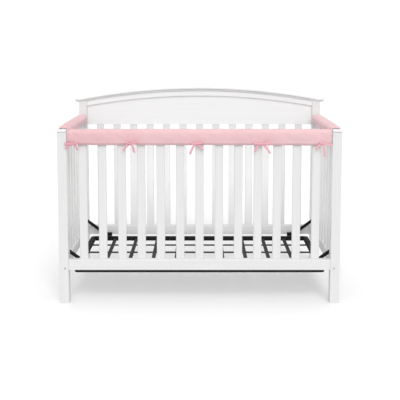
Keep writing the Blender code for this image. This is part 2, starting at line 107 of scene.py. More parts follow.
def put(made, kind, settings, inputs):
    """Adds a node. Each of its inputs is a plain value, or another node's output to link."""
    tree = made.node_tree
    added = tree.nodes.new("ShaderNode" + kind)
    for name, value in settings.items():
        setattr(added, name, value)
    for name, value in inputs.items():
        if isinstance(value, bpy.types.NodeSocket):
            tree.links.new(value, added.inputs[name])
        else:
            added.inputs[name].default_value = value
    return added


def noise(made, place, scale, detail=2.0):
    """A cloudy noise, from 0 to 1, over this place."""
    inputs = {"Vector": place, "Scale": scale, "Detail": detail}
    return put(made, "TexNoise", {}, inputs).outputs["Fac"]


def shade_between(made, factor, span, dark, light):
    """A colour ramp from dark, at the span's low factor, to light, at its high one."""
    ramp = put(made, "ValToRGB", {}, {"Fac": factor})
    for stop, place, colour in zip(ramp.color_ramp.elements, span, (dark, light)):
        stop.position = place
        stop.color = (*colour, 1.0)
    return ramp.outputs["Color"]


def emboss(made, height, depth, strength, over=None):
    """A bump of this depth in metres, over another bump where one is given."""
    inputs = {"Height": height, "Distance": depth, "Strength": strength}
    if over is not None:
        inputs["Normal"] = over
    return put(made, "Bump", {}, inputs).outputs["Normal"]


def give(made, shader, colour, relief):
    """Links the colour and the embossed surface to the finish's shader."""
    made.node_tree.links.new(colour, shader.inputs["Base Color"])
    made.node_tree.links.new(relief, shader.inputs["Normal"])


def white_paint(name, along, paint_and_painted_light):
    """A satin painted finish: a noise drawn out along the grain tints and embosses it, and a fine
    even noise is the sprayed surface. Its colour is the frame's white, or a lighter copy of that
    white which is painted light."""
    made, shader = new_finish(name, PAINT_SATIN)
    stretch = [GRAIN_FINE] * 3
    stretch[along] = GRAIN_LONG
    place = put(made, "TexCoord", {}, {}).outputs["Object"]
    drawn = put(made, "Mapping", {}, {"Vector": place, "Scale": stretch}).outputs[0]
    grain = noise(made, drawn, 1.0, GRAIN_DETAIL)
    over_grain = [OVER_GRAIN * share for share in paint_and_painted_light]
    colour = shade_between(made, grain, GRAIN_RANGE, over_grain, paint_and_painted_light)
    sprayed = emboss(made, noise(made, place, SPRAY_SCALE), SPRAY_DEPTH, SPRAY_STRENGTH)
    give(made, shader, colour, emboss(made, grain, GRAIN_DEPTH, GRAIN_STRENGTH, sprayed))
    return made


upright_paint = white_paint("white_paint_upright", 2, FRAME_PAINT)
long_rails = ("front_top", "front_bottom", "back_bottom", "headboard_crown")
PAINTED = (
    (white_paint("white_paint_across", 0, FRAME_PAINT), long_rails),
    (white_paint("white_paint_sides", 1, FRAME_PAINT), ("side_top_rail",)),
    (upright_paint, ("post_", "front_slat", "back_slat", "side_slats")),
    # The headboard gets a lighter copy of the frame's white, which is painted light
    (white_paint("white_paint_board_painted_light", 0, HEADBOARD_PAINTED_LIGHT), ("headboard_arch", "headboard_panel")),
    # The caps get a lighter copy still, which is painted light on their tops
    (white_paint("white_paint_caps_painted_light", 0, CAP_PAINTED_LIGHT), ("cap_",)),
)
for paint_and_painted_light, names in PAINTED:
    for node in nodes.values():
        if node.name.startswith(names):
            node.material_slots[0].material = paint_and_painted_light


# ---- Mattress support
# A welded steel frame with flat straps and four sloping hangers, powder coated black.

STEEL_BLACK = (0.004, 0.004, 0.0045)
STEEL_WORN = (0.009, 0.009, 0.0095)
POWDER_MATT = {"Roughness": 0.5, "Specular IOR Level": 0.2}
GRIT_SCALE = 900.0
GRIT_RANGE = (0.4, 0.7)
GRIT_DEPTH = 0.00006
GRIT_STRENGTH = 0.7

powder_coat, powder_shader = new_finish("black_powder_coat", POWDER_MATT)
powder_place = put(powder_coat, "TexCoord", {}, {}).outputs["Object"]
grit = noise(powder_coat, powder_place, GRIT_SCALE)
give(
    powder_coat,
    powder_shader,
    shade_between(powder_coat, grit, GRIT_RANGE, STEEL_BLACK, STEEL_WORN),
    emboss(powder_coat, grit, GRIT_DEPTH, GRIT_STRENGTH),
)
for node in nodes.values():
    if node.name.startswith(("mattress_support", "hanger_")):
        node.material_slots[0].material = powder_coat


# ---- Post bolts
# Two steel bolts through each front post into the side frame: a bare socket head low down,
# and a white plug over the upper one.

BOLT_X = 0.690
LOW_BOLT_Z = 0.185
PLUG_Z = 0.874
HEAD_SIDES = 48
FORWARDS = (0.0, -1.0, 0.0)
UPWARDS = (0.0, 0.0, 1.0)
# Each outline from its middle outwards: radius, and height off the post
SOCKET_HEAD = (
    (0.0, 0.0006),
    (0.0022, 0.0006),
    (0.0026, 0.0022),
    (0.0044, 0.0022),
    (0.0050, 0.0016),
    (0.0052, 0.0002),
    (0.0052, -0.0010),
)
PLUG_HEAD = ((0.0, 0.0016), (0.0020, 0.0015), (0.0036, 0.0010), (0.0042, 0.0004), (0.0042, -0.0010))
ZINC = {"Roughness": 0.35, "Metallic": 1.0}
ZINC_DARK = (0.42, 0.42, 0.41)
ZINC_BRIGHT = (0.60, 0.60, 0.59)
ZINC_SCALE = 1500.0
ZINC_RANGE = (0.3, 0.7)


def faces_of(rows, columns, closed):
    """The four-sided faces of a grid of points, row by row, joined round its columns if closed."""
    last = columns if closed else columns - 1
    row, column = np.meshgrid(np.arange(rows - 1), np.arange(last), indexing="ij")
    beside = (column + 1) % columns
    corners = [row * columns + column, row * columns + beside]
    corners += [(row + 1) * columns + beside, (row + 1) * columns + column]
    return np.stack(corners, axis=-1).reshape(-1, 4)


def object_of(name, skins, finish):
    """One smooth object of closed skins, each of them points, faces and a flat place (metres) for
    each point. It sits at the origin, rides on the crib, and its flat places are its UV map."""
    points, faces, flats, count = [], [], [], 0
    for skin_points, skin_faces, skin_flats in skins:
        points.append(np.reshape(skin_points, (-1, 3)))
        flats.append(np.reshape(skin_flats, (-1, 2)))
        faces += [[count + corner for corner in face] for face in skin_faces]
        count += len(points[-1])
    mesh = bpy.data.meshes.new(name)
    mesh.from_pydata(np.concatenate(points).tolist(), [], faces)
    corners = np.zeros(len(mesh.loops), np.int32)
    mesh.loops.foreach_get("vertex_index", corners)
    layer = mesh.uv_layers.new(name="flat")
    layer.data.foreach_set("uv", np.concatenate(flats)[corners].astype(np.float32).ravel())
    mesh.polygons.foreach_set("use_smooth", np.ones(len(mesh.polygons), bool))
    mesh.materials.append(finish)
    mesh.update()
    made = bpy.data.objects.new(name, mesh)
    bpy.context.scene.collection.objects.link(made)
    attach(made, "root")
    return made


def turned(outline, centre):
    """A profile of (radius, height) turned round an axis that points forwards, out of the post."""
    radius, height = np.array(outline).T
    angle = np.linspace(0, 2 * math.pi, HEAD_SIDES, endpoint=False)
    beside = np.cross(FORWARDS, UPWARDS)
    ring = np.cos(angle)[:, None] * beside + np.sin(angle)[:, None] * np.array(UPWARDS)
    points = centre + radius[:, None, None] * ring + height[:, None, None] * np.array(FORWARDS)
    count = len(radius) * HEAD_SIDES
    faces = faces_of(len(radius), HEAD_SIDES, True).tolist()
    faces.append(list(range(count - 1, count - HEAD_SIDES - 1, -1)))
    return points, faces, points[..., (0, 2)]


bolt_steel, bolt_shader = new_finish("zinc_bolt", ZINC)
bolt_place = put(bolt_steel, "TexCoord", {}, {}).outputs["Object"]
bolt_marks = noise(bolt_steel, bolt_place, ZINC_SCALE)
bolt_colour = shade_between(bolt_steel, bolt_marks, ZINC_RANGE, ZINC_DARK, ZINC_BRIGHT)
bolt_steel.node_tree.links.new(bolt_colour, bolt_shader.inputs["Base Color"])

post_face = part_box("post_front_left")[0].y
for side, sign in (("left", -1), ("right", 1)):
    socket_head = turned(SOCKET_HEAD, np.array((sign * BOLT_X, post_face, LOW_BOLT_Z)))
    object_of(f"post_bolt_{side}", [socket_head], bolt_steel)
    plug = turned(PLUG_HEAD, np.array((sign * BOLT_X, post_face, PLUG_Z)))
    object_of(f"post_plug_{side}", [plug], upright_paint)


# ---- Cover panels
# Three strips of pink cotton, padded with thin wadding and topstitched all round. Each is folded
# over its rail, hangs down both sides and is drawn in under the rail where a bow ties it.

# Each strip's length along its rail and its width across the cloth, laid flat
FRONT_CLOTH = (1.340, 0.188)
SIDE_CLOTH = (0.650, 0.138)
# The padded thickness, the gap that the strip keeps over its rail, and its thinner sewn edge
CLOTH_THICK = 0.008
CLOTH_REST = 0.0022
EDGE_THICK = 0.0026
EDGE_TAPER = 0.016
EDGE_ROUND = 0.0010
# The corners are quarter ovals: their length along the rail, their share of the half strip, and
# how far from the end the cloth is moved in
CORNER_LONG = 0.020
CORNER_SHARE = 0.64
CORNER_TAPER = 0.050
# The section's turn over the rail, and its curl at the lower edge, loose and where it is tied
SHOULDER_RADIUS = 0.016
CURL_LENGTH = 0.0205
CURL_LOOSE = math.radians(35)
CURL_TIED = math.radians(72)
CURL_WOBBLE = math.radians(6)
WOBBLE_LENGTH = 0.210
TIE_REACH = 0.024
# The wadding's bulge down the sides, and how far from an end it fades
PUFF = 0.0045
PUFF_END = 0.050
# How far each knot sits in from the strip's edge
KNOT_IN = 0.014
ALONG_STEP = 0.0032
ACROSS_STEPS = 61
# Extra steps before each end, the length over which the end is rounded off, and the share of the
# thickness that is left there
END_STEPS = (0.0004, 0.0012)
END_ROUND = 0.0012
END_THIN = 0.3

# The seam's distance from the edge, its groove, and the puckers beside it
HEM = 0.009
HEM_GROOVE = 0.0009
HEM_GROOVE_WIDE = 0.0018
PUCKER_HIGH = 0.00045
PUCKER_LONG = 0.0125
PUCKER_WIDE = 0.007
# The puckers' uneven spacing and height: an amount, and radians a metre along the edge
PUCKER_DRIFT = (2.0, 61.0)
PUCKER_SWELL = (0.4, 37.0)
# Slow waves of the wadding: height, length along the strip, length across it, and phase
WAVES = ((0.00055, 0.171, 0.110, 0.4), (0.00045, 0.097, 0.080, 2.1), (0.0003, 0.043, 0.061, 4.0))
WAVE_BEND = 1.7
WAVE_FADE = 0.02
# A crease's depth and width, how near the knot it starts, and the length over which it fades
CREASE_DEEP = 0.0020
CREASE_SPREAD = math.radians(8)
CREASE_FROM = 0.006
CREASE_LONG = 0.030
# Creases on the rail's inner side have this share of the depth
CREASE_INNER = 0.6
# How uneven the creases are in direction (radians), depth and spread
UNEVEN_LEAN = 0.12
UNEVEN_DEPTH = 0.25
UNEVEN_SPREAD = 0.3
# The directions in which creases leave a knot, from straight up the cloth
CREASES = tuple(math.radians(a) for a in (-76, -48, -20, 12, 41, 70))
KNOT_DENT = 0.0008
KNOT_DENT_WIDE = 0.011

# Ties, in millimetres but for the pull: where the knot is along the rail, where its band is, its
# pull from 0 to 1, how far the strip slips there, the reach and rise of both loops, and the reach
# and drop of both tails
FRONT_TIES = (
    (-638, -638, 1.00, 0, (-42, 2), (26, 4), (-36, 25), (22, 31)),
    (-345, -345, 1.00, 0, (-26, 10), (34, 11), (-40, 36), (16, 45)),
    (-15, -49, 0.80, 0, (-26, 1), (27, 6), (-32, 53), (32, 34)),
    (307, 346, 0.75, 1, (-34, 3), (50, 1), (-29, 41), (48, 49)),
    (624, 639, 0.80, 3, (-18, 8), (42, -6), (-36, 29), (7, 66)),
)
SIDE_TIES = (
    (-219, -219, 0.80, 0, (-30, 6), (30, 6), (-26, 40), (22, 45)),
    (219, 219, 0.80, 0, (-30, 6), (30, 6), (-22, 45), (26, 40)),
)


def cover_over(rail, along, outward, cloth, ties):
    """A strip's rail, its directions, its size, where its section turns, and its ties as arrays."""
    low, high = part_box(rail)
    centre = (low + high) / 2
    outward = np.array(outward, float)
    rail_half = abs(float(np.array(high - low) @ outward)) / 2
    length, width = cloth
    at, band, pull, slide = np.array([row[:4] for row in ties], float).T
    return {
        "rail": rail,
        "along": np.array(along, float),
        "outward": outward,
        "centre": np.array((centre.x, centre.y, high.z)),
        "face": rail_half + CLOTH_REST + CLOTH_THICK + PUFF,
        "shoulder_from": rail_half + CLOTH_REST + CLOTH_THICK / 2 - SHOULDER_RADIUS,
        "curl_from": width / 2 - CURL_LENGTH,
        "length": length,
        "width": width,
        "at": at / 1000,
        "band": band / 1000,
        "pull": pull,
        "slide": slide / 1000,
        "ribbons": [[np.array(end, float) / 1000 for end in row[4:]] for row in ties],
    }


def pull_on(cover, t):
    """How hard the ties draw the cloth in: a bell curve round each tie, added up, at most 1."""
    near = np.exp(-(((t[..., None] - cover["at"]) / TIE_REACH) ** 2))
    return np.minimum((near * cover["pull"]).sum(-1), 1.0)


def laid_over(cover, t, s, lift):
    """The cloth's middle surface, or points lifted off it, at t along the rail and s across the
    cloth. The section is a flat run, a quarter turn down, a straight drop, and a curl inwards."""
    t, s, lift = np.broadcast_arrays(*(np.asarray(x, float) for x in (t, s, lift)))
    pull = pull_on(cover, t)
    s = s + np.interp(t, cover["at"], cover["slide"])
    run = np.abs(s)
    curl = CURL_LOOSE + (CURL_TIED - CURL_LOOSE) * pull
    curl = curl + CURL_WOBBLE * (1 - pull) * np.sin(2 * math.pi * t / WOBBLE_LENGTH)
    quarter = SHOULDER_RADIUS * math.pi / 2
    shoulder_from, curl_from = cover["shoulder_from"], cover["curl_from"]
    turn = np.clip(run - shoulder_from, 0, quarter) / SHOULDER_RADIUS
    drop = np.clip(run - shoulder_from - quarter, 0, curl_from - shoulder_from - quarter)
    bend = curl / CURL_LENGTH
    bent = bend * np.maximum(run - curl_from, 0)
    angle = turn + bent
    across = np.minimum(run, shoulder_from) + SHOULDER_RADIUS * np.sin(turn)
    across = across - (1 - np.cos(bent)) / bend
    down = SHOULDER_RADIUS * (1 - np.cos(turn)) + drop + np.sin(bent) / bend
    side_share = np.clip((run - shoulder_from) / (curl_from - shoulder_from), 0, 1)
    end_share = np.minimum((cover["length"] / 2 - np.abs(t)) / PUFF_END, 1.0)
    lift = lift + PUFF * end_share * (1 - pull) * np.sin(math.pi * side_share)
    across = (across + lift * np.sin(angle)) * np.sign(s)
    up = CLOTH_REST + CLOTH_THICK / 2 - down + lift * np.cos(angle)
    return (
        cover["centre"]
        + t[..., None] * cover["along"]
        + across[..., None] * cover["outward"]
        + up[..., None] * np.array(UPWARDS)
    )


def drawn_in(cover, t, s):
    """t moved in at the strip's ends, so that its corners are quarter ovals."""
    into = np.clip(1 - (1 - 2 * np.abs(s) / cover["width"]) / CORNER_SHARE, 0.0, 1.0)
    inset = CORNER_LONG * (1 - np.sqrt(1 - into**2))
    near_end = np.maximum(1 - (cover["length"] / 2 - np.abs(t)) / CORNER_TAPER, 0.0)
    return t - np.sign(t) * inset * near_end


def thickness(cover, t, s):
    """The strip's thickness: full over the wadding, less towards the sewn edge."""
    from_edge = np.minimum(cover["width"] / 2 - np.abs(s), cover["length"] / 2 - np.abs(t))
    share = np.clip(from_edge / EDGE_TAPER, 0, 1)
    share = share * share * (3 - 2 * share)
    return EDGE_THICK + (CLOTH_THICK - EDGE_THICK) * share


def relief(cover, t, s):
    """How far the outer cloth stands off: slow waves of the wadding, a groove along the stitches
    with short puckers beside it, and creases that fan out from each knot."""
    edge_s = cover["width"] / 2 - np.abs(s)
    edge_t = cover["length"] / 2 - np.abs(t)
    from_edge = np.minimum(edge_s, edge_t)
    high = sum(
        a * np.sin(2 * math.pi * t / long + WAVE_BEND * np.sin(2 * math.pi * s / wide) + phase)
        for a, long, wide, phase in WAVES
    )
    high = high * np.clip(from_edge / WAVE_FADE, 0, 1)
    off_hem = from_edge - HEM
    high = high - HEM_GROOVE * np.exp(-((off_hem / HEM_GROOVE_WIDE) ** 2))
    along_edge = np.where(edge_s < edge_t, t, s)
    drift, drift_turn = PUCKER_DRIFT
    swell, swell_turn = PUCKER_SWELL
    ripple = 2 * math.pi * along_edge / PUCKER_LONG + drift * np.sin(along_edge * drift_turn)
    ripple = np.sin(ripple) * (1 - swell + swell * np.sin(along_edge * swell_turn + 1.0))
    high = high + PUCKER_HIGH * ripple * np.exp(-((off_hem / PUCKER_WIDE) ** 2))
    for number, (at, pull) in enumerate(zip(cover["at"], cover["pull"])):
        for face in (1, -1):
            reach, climb = t - at, cover["width"] / 2 - KNOT_IN - face * s
            far = np.hypot(reach, climb)
            towards = np.arctan2(reach, climb)
            strong = pull * (1.0 if face > 0 else CREASE_INNER)
            fade = np.exp(-np.maximum(far - CREASE_FROM, 0) / CREASE_LONG)
            fade = fade * (1 - np.exp(-((far / CREASE_FROM) ** 2)))
            # The sines of each crease's and each knot's number only make the creases differ
            for k, lean in enumerate(CREASES):
                lean = lean + UNEVEN_LEAN * math.sin(5.0 * k + 3.0 * number)
                even = 1 - UNEVEN_DEPTH + UNEVEN_DEPTH * math.sin(7.0 * k + 2.0 * number)
                spread = CREASE_SPREAD * (1 + UNEVEN_SPREAD * math.sin(3.0 * k + number))
                trough = np.exp(-(((towards - lean) / spread) ** 2))
                high = high - strong * (CREASE_DEEP * even) * fade * trough
            high = high - KNOT_DENT * strong * np.exp(-((far / KNOT_DENT_WIDE) ** 2))
    return high


def steps_along(cover):
    """Even steps along the strip, with a few more close to both ends."""
    half = cover["length"] / 2
    t = np.linspace(-half, half, round(cover["length"] / ALONG_STEP) + 1)
    near = half - np.array(END_STEPS)
    return np.sort(np.concatenate([t, near, -near]))


def padded_strip(cover):
    """The strip's closed skin: at each step along the rail, one loop over the outer cloth, round
    the lower outer edge, back over the lining, and round the other edge."""
    t = steps_along(cover)[:, None]
    s = np.linspace(-cover["width"] / 2, cover["width"] / 2, ACROSS_STEPS)[None, :]
    t, s = np.broadcast_arrays(t, s)
    half = thickness(cover, t, s) / 2
    end = np.clip((cover["length"] / 2 - np.abs(t)) / END_ROUND, END_THIN, 1.0)
    placed = drawn_in(cover, t, s)
    middle = half - CLOTH_THICK / 2
    outer = laid_over(cover, placed, s, middle + (half + relief(cover, t, s)) * end)
    lining = laid_over(cover, placed, s, middle - half * end)
    brink = EDGE_ROUND * np.array((-1.0, 1.0))
    brinks = laid_over(cover, placed[:, (0, -1)], s[:, (0, -1)] + brink, middle[:, (0, -1)])
    points = np.concatenate([outer, brinks[:, 1:], lining[:, ::-1], brinks[:, :1]], axis=1)
    flat = np.stack([placed, s], axis=-1)
    edges = flat[:, (0, -1)] + np.stack([0 * brink, brink], axis=-1)
    flats = np.concatenate([flat, edges[:, 1:], flat[:, ::-1], edges[:, :1]], axis=1)
    rows, columns = points.shape[:2]
    faces = faces_of(rows, columns, True).tolist()
    for row, turned_round in ((0, False), (rows - 1, True)):
        first = row * columns
        for k in range(ACROSS_STEPS - 1):
            back = columns - 2 - k
            face = [first + k, first + back, first + back - 1, first + k + 1]
            faces.append(face[::-1] if turned_round else face)
        tips = [first + ACROSS_STEPS - 1, first + ACROSS_STEPS + 1, first + ACROSS_STEPS]
        tops = [first, first + columns - 1, first + columns - 2]
        faces.append(tips[::-1] if turned_round else tips)
        faces.append(tops[::-1] if turned_round else tops)
    return points, faces, flats


COTTON_DEEP = (0.783, 0.478, 0.503)
COTTON_PALE = (0.848, 0.580, 0.610)
COTTON_SOFT = {"Roughness": 0.92, "Sheen Weight": 0.25, "Sheen Roughness": 0.5}
THREAD_PITCH = 0.00085
# At scale 1, Blender's wave texture turns this many radians over a metre
WAVE_TURN = 20.0
# Uneven threads: waves a metre along a thread and across it
SLUB_LONG = 30.0
SLUB_FINE = 900.0
SLUB_DEPTH = 0.00020
SLUB_STRENGTH = 0.7
WEAVE_DEPTH = 0.00016
WEAVE_STRENGTH = 0.8
# The tint's slow change: waves a metre, its share beside the threads, and the sum's range
SLOW_SCALE = 9.0
SLOW_SHARE = 0.8
PALER_PER_METRE = 0.25
TINT_RANGE = (1.05, 1.75)


def added_up(made, first, second, factor=None):
    """The sum of two values, the first of them times a factor where one is given."""
    if factor is None:
        return put(made, "Math", {"operation": "ADD"}, {0: first, 1: second}).outputs[0]
    inputs = {0: first, 1: factor, 2: second}
    return put(made, "Math", {"operation": "MULTIPLY_ADD"}, inputs).outputs[0]


def woven(name, deep, pale, pitch, sockets):
    """Cloth: two sets of threads, each a row of waves across the flat cloth, with uneven thick
    threads in both directions, and a slow change of tint that grows paler to the right."""
    made, shader = new_finish(name, sockets)
    flat = put(made, "UVMap", {"uv_map": "flat"}, {}).outputs["UV"]
    wave_scale = 2 * math.pi / WAVE_TURN / pitch
    waves, slubs = [], []
    for axis, drawn in (("X", (SLUB_LONG, SLUB_FINE, 1.0)), ("Y", (SLUB_FINE, SLUB_LONG, 1.0))):
        inputs = {"Vector": flat, "Scale": wave_scale}
        waves.append(put(made, "TexWave", {"bands_direction": axis}, inputs).outputs["Fac"])
        stretched = put(made, "Mapping", {}, {"Vector": flat, "Scale": drawn}).outputs[0]
        slubs.append(noise(made, stretched, 1.0))
    weave = added_up(made, *waves)
    thick = added_up(made, *slubs)
    place = put(made, "TexCoord", {}, {}).outputs["Object"]
    tint = added_up(made, noise(made, place, SLOW_SCALE), thick, SLOW_SHARE)
    right = put(made, "SeparateXYZ", {}, {"Vector": place}).outputs["X"]
    tint = added_up(made, right, tint, PALER_PER_METRE)
    low, high = TINT_RANGE
    scaled = put(made, "MapRange", {}, {"Value": tint, "From Min": low, "From Max": high})
    colour = shade_between(made, scaled.outputs[0], (0.0, 1.0), deep, pale)
    lumps = emboss(made, thick, SLUB_DEPTH, SLUB_STRENGTH)
    give(made, shader, colour, emboss(made, weave, WEAVE_DEPTH, WEAVE_STRENGTH, lumps))
    return made


cotton = woven("pink_cotton", COTTON_DEEP, COTTON_PALE, THREAD_PITCH, COTTON_SOFT)
COVERS = {
    "front": cover_over("front_top_rail", (1, 0, 0), (0, -1, 0), FRONT_CLOTH, FRONT_TIES),
    "left": cover_over("side_top_rail_left", (0, -1, 0), (-1, 0, 0), SIDE_CLOTH, SIDE_TIES),
    "right": cover_over("side_top_rail_right", (0, 1, 0), (1, 0, 0), SIDE_CLOTH, SIDE_TIES),
}
CAD_NAMES = {"front": "front_cover", "left": "side_cover_left", "right": "side_cover_right"}

for place, cover in COVERS.items():
    panel = object_of(f"{place}_panel", [padded_strip(cover)], cotton)
    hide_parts(CAD_NAMES[place])


# ---- Topstitching
# One line of lockstitch in matching thread, a finger's width inside each panel's edge.

STITCH_PITCH = 0.0034
STITCH_LONG = 0.0024
STITCH_THICK = 0.00055
STITCH_SIDES = 5
# The thread's thickness at each ring along a stitch, as a share, and how deep its ends sink
STITCH_SWELL = (0.35, 0.9, 1.0, 0.9, 0.35)
STITCH_SINK = 0.3
THREAD_DEEP = (0.80, 0.47, 0.48)
THREAD_PALE = (0.86, 0.55, 0.56)
THREAD_TWIST = 0.0004
THREAD_SATIN = {"Roughness": 0.7}
# A small lift that shows which way is off the cloth
OFF_CLOTH = 0.001


def stitch_line(cover):
    """Middles and directions of stitches, at equal steps round a rectangle inside the edge."""
    wide, long = cover["width"] / 2 - HEM, cover["length"] / 2 - HEM
    t = np.arange(-long, long, STITCH_PITCH)
    s = np.arange(-wide, wide, STITCH_PITCH)
    runs = [np.stack([t, 0 * t + side * wide], -1) for side in (-1, 1)]
    runs += [np.stack([0 * s + side * long, s], -1) for side in (-1, 1)]
    ways = [np.tile((1.0, 0.0), (len(t), 1))] * 2 + [np.tile((0.0, 1.0), (len(s), 1))] * 2
    return np.concatenate(runs), np.concatenate(ways)


def stitches(cover):
    """Each stitch is a short thread of a few rings, small at both ends and sunk in the groove."""
    middles, ways = stitch_line(cover)
    rings = len(STITCH_SWELL)
    along = np.linspace(-0.5, 0.5, rings)
    swell = np.array(STITCH_SWELL)
    places = middles[:, None] + along[None, :, None] * STITCH_LONG * ways[:, None]
    t, s = places[..., 0], places[..., 1]
    lift = thickness(cover, t, s) - CLOTH_THICK / 2 + relief(cover, t, s)
    path = laid_over(cover, drawn_in(cover, t, s), s, lift)
    above = laid_over(cover, drawn_in(cover, t, s), s, lift + OFF_CLOTH)
    up = (above - path) / np.linalg.norm(above - path, axis=-1, keepdims=True)
    ahead = path[:, -1:] - path[:, :1]
    beside = np.cross(up, ahead)
    beside = beside / np.linalg.norm(beside, axis=-1, keepdims=True)
    angle = np.linspace(0, 2 * math.pi, STITCH_SIDES, endpoint=False)
    round_it = (
        np.cos(angle)[:, None] * beside[:, :, None] + np.sin(angle)[:, None] * up[:, :, None]
    )
    path = path - up * (STITCH_SINK * STITCH_THICK * (1 - swell)[None, :, None])
    points = path[:, :, None] + round_it * (STITCH_THICK / 2 * swell)[None, :, None, None]
    size = rings * STITCH_SIDES
    one = faces_of(rings, STITCH_SIDES, True).tolist()
    one += [list(range(STITCH_SIDES))[::-1], list(range(size - STITCH_SIDES, size))]
    one = [face[::-1] for face in one]
    faces = [[size * n + corner for corner in face] for n in range(len(points)) for face in one]
    flats = np.broadcast_to(places[:, :, None], points.shape[:3] + (2,))
    return points, faces, flats


thread = woven("pink_thread", THREAD_DEEP, THREAD_PALE, THREAD_TWIST, THREAD_SATIN)
for place, cover in COVERS.items():
    object_of(f"{place}_topstitching", [stitches(cover)], thread)


# ---- Bows
# Narrow ribbon sewn to each panel's lower edges, brought together under the rail and tied in a
# flat bow on the outside. The knot sinks into the padding.

RIBBON_WIDTH = 0.0115
RIBBON_THICK = 0.0009
RIBBON_CLEAR = 0.0006
RIBBON_COLUMNS = 9
# The height of the ribbon's cupped middle, and of the pleats where it is gathered, and the pleats'
# waves from its middle to an edge
CUP = 0.0006
PLEAT = 0.0004
PLEAT_WAVES = 1.25
RIBBON_DEEP = (0.785, 0.360, 0.420)
RIBBON_PALE = (0.870, 0.470, 0.525)
RIBBON_SATIN = {"Roughness": 0.55, "Sheen Weight": 0.3, "Sheen Roughness": 0.4}
RIBBON_PITCH = 0.0006
# The knot's length, depth and height. Its ends are blunt, and the turns of ribbon round it leave
# grooves, ridges and lumps: each is an amount and how often it comes
KNOT_SIZE = (0.015, 0.010, 0.0135)
KNOT_STEPS = (20, 28)
KNOT_BLUNT = 0.7
# The first and the last ring lie at this angle from the knot's middle, and are closed flat
KNOT_POLE = 1.5
KNOT_GROOVES = (0.10, 5.0)
KNOT_RIDGES = (0.05, 11.0)
KNOT_LUMPS = (0.07, 3)
# Half a loop's opening, its width and half its opening at the knot, its width at the tip, its sag,
# and the share of its length over which it comes out to the padding's face
LOOP_OPEN = 0.0032
LOOP_NECK = 0.006
NECK_OPEN = 0.001
LOOP_TIP = 0.012
LOOP_SAG = 0.0025
LEAN_OVER = 0.25
LOOP_STEPS = 44
TAIL_STEPS = 26
# A tail turns this many radians by its tip, and is at full width 1 / TAIL_OPENS of the way there
TAIL_TWIST = 0.5
TAIL_OPENS = 2.5
# How far the tail's cut slants, and how the slant grows over its last steps
TAIL_SLANT = 0.003
SLANT_GROWS = (0.25, 0.5, 0.75, 1.0)
# A tail's elbow, as shares of its reach and drop, and how far elbow and tip stand off the knot
ELBOW_REACH = 0.7
ELBOW_DROP = 0.25
ELBOW_OFF = 0.003
TIP_OFF = 0.001
# The band under the rail: how far it runs up from the inner edge, its steps from place to place,
# how often it is smoothed, and the steps over which it widens from the knot
BAND_INNER = (0.012, 0.022)
BAND_STEPS = 6
BAND_SMOOTHED = 3
BAND_WIDENS = 4
UP = np.array(UPWARDS)


def ribbon(path, beside, width, cup, pleat, slant=0.0):
    """A ribbon's closed skin: at each step of its path, a thin loop across its width. The middle is
    cupped, pleats run along it where it is gathered, and its last edge may be cut on the slant."""
    ahead = np.gradient(path, axis=0)
    ahead = ahead / np.linalg.norm(ahead, axis=1, keepdims=True)
    beside = beside - (beside * ahead).sum(1, keepdims=True) * ahead
    beside = beside / np.linalg.norm(beside, axis=1, keepdims=True)
    face = np.cross(ahead, beside)
    v = np.linspace(-1, 1, RIBBON_COLUMNS)
    width, cup, pleat = (np.broadcast_to(x, len(path)) for x in (width, cup, pleat))
    bulge = cup[:, None] * (1 - v**2) + pleat[:, None] * np.cos(2 * PLEAT_WAVES * math.pi * v)
    sheet = path[:, None] + (width[:, None] / 2 * v)[..., None] * beside[:, None]
    sheet = sheet + bulge[..., None] * face[:, None]
    last = np.zeros(len(path))
    last[-len(SLANT_GROWS) :] = SLANT_GROWS
    sheet = sheet + (slant * last[:, None] * v)[..., None] * ahead[:, None]
    half = RIBBON_THICK / 2 * face[:, None]
    points = np.concatenate([sheet + half, sheet[:, ::-1] - half], axis=1)
    rows, columns = points.shape[:2]
    faces = faces_of(rows, columns, True)[:, ::-1].tolist()
    end = (rows - 1) * columns
    for k in range(RIBBON_COLUMNS - 1):
        faces.append([k, k + 1, columns - 2 - k, columns - 1 - k])
        faces.append([end + columns - 1 - k, end + columns - 2 - k, end + k + 1, end + k])
    long = np.concatenate([[0], np.cumsum(np.linalg.norm(np.diff(path, axis=0), axis=1))])
    place = np.concatenate([v, v[::-1]])
    flats = np.stack(np.broadcast_arrays(long[:, None], width[:, None] / 2 * place), axis=-1)
    return points, faces, flats


def knot_of(cover, middle):
    """A wrapped knot: an egg shape, waisted and grooved by the turns of ribbon round it."""
    rings, sides = KNOT_STEPS
    lie = np.linspace(-math.pi / 2, math.pi / 2, rings)
    lie = np.clip(lie, -KNOT_POLE, KNOT_POLE)
    angle = np.linspace(0, 2 * math.pi, sides, endpoint=False)
    groove, grooves = KNOT_GROOVES
    ridge, ridges = KNOT_RIDGES
    lump, lumps = KNOT_LUMPS
    turns = 1 - groove * np.cos(lie * grooves) ** 2 + ridge * np.sin(lie * ridges)
    wide = np.cos(lie) ** KNOT_BLUNT * turns
    size = np.array(KNOT_SIZE) / 2
    dent = 1 + lump * np.sin(lumps * angle + 1.0)
    points = (
        middle
        + (np.sin(lie) * size[0])[:, None, None] * cover["along"]
        + (wide[:, None] * np.cos(angle) * dent * size[1])[..., None] * cover["outward"]
        + (wide[:, None] * np.sin(angle) * dent * size[2])[..., None] * UP
    )
    faces = faces_of(rings, sides, True).tolist()
    faces += [list(range(sides))[::-1], list(range((rings - 1) * sides, rings * sides))]
    flats = np.stack(np.broadcast_arrays(lie[:, None] * size[0], angle * size[2]), axis=-1)
    return points, [face[::-1] for face in faces], flats


